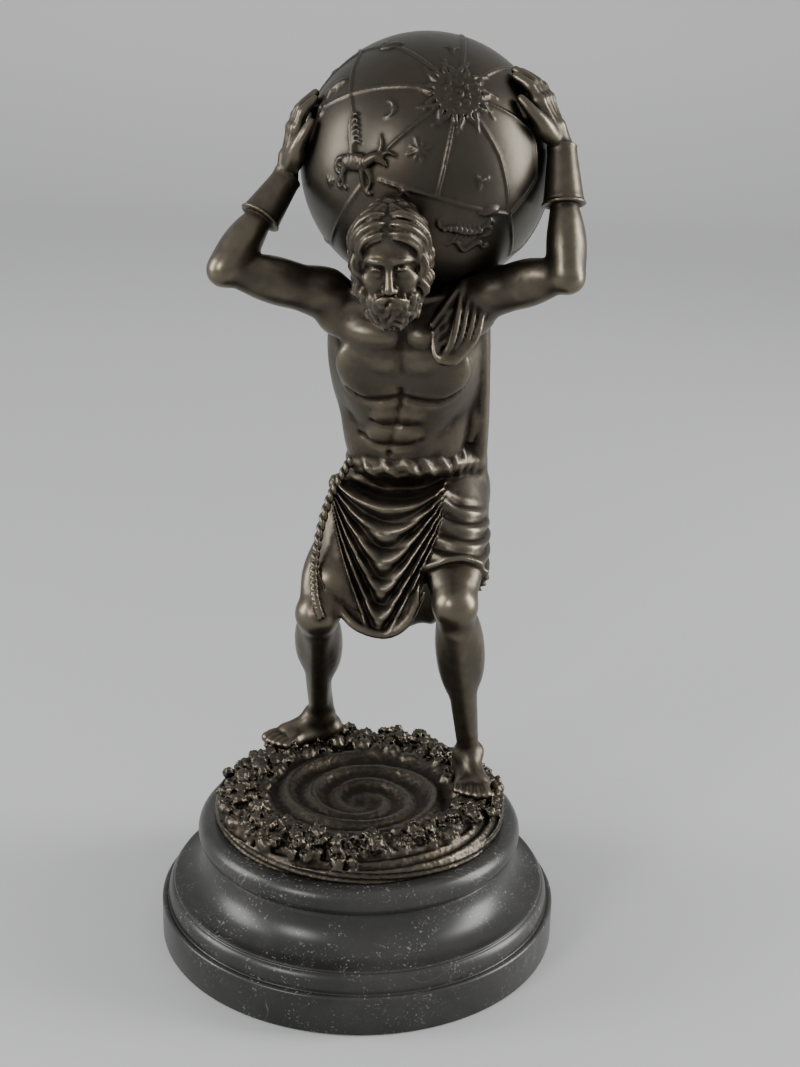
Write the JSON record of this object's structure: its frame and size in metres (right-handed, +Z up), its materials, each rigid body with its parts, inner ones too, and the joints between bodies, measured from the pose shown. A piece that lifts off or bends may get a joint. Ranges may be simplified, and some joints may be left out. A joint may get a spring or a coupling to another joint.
{
  "type": "atlas statue",
  "caption": "Bronze statue of a bearded Atlas in a draped skirt, bearing a celestial globe on his back, on a disc of rocks and whirling water over a turned marble base.",
  "frame": {"origin": "centre of the marble base's underside", "axes": "+Z up through the statue, -Y the way the figure faces, +X to the figure's left"},
  "size_m": [0.1754, 0.176, 0.3867],
  "materials": {
    "marble": "polished",
    "bronze": "satin",
    "globe_bronze": "satin"
  },
  "bodies": {
    "root": {"marble_base": "marble", "ground_disc": "bronze", "figure": "bronze", "celestial_globe": "globe_bronze"}
  },
  "joints": []
}
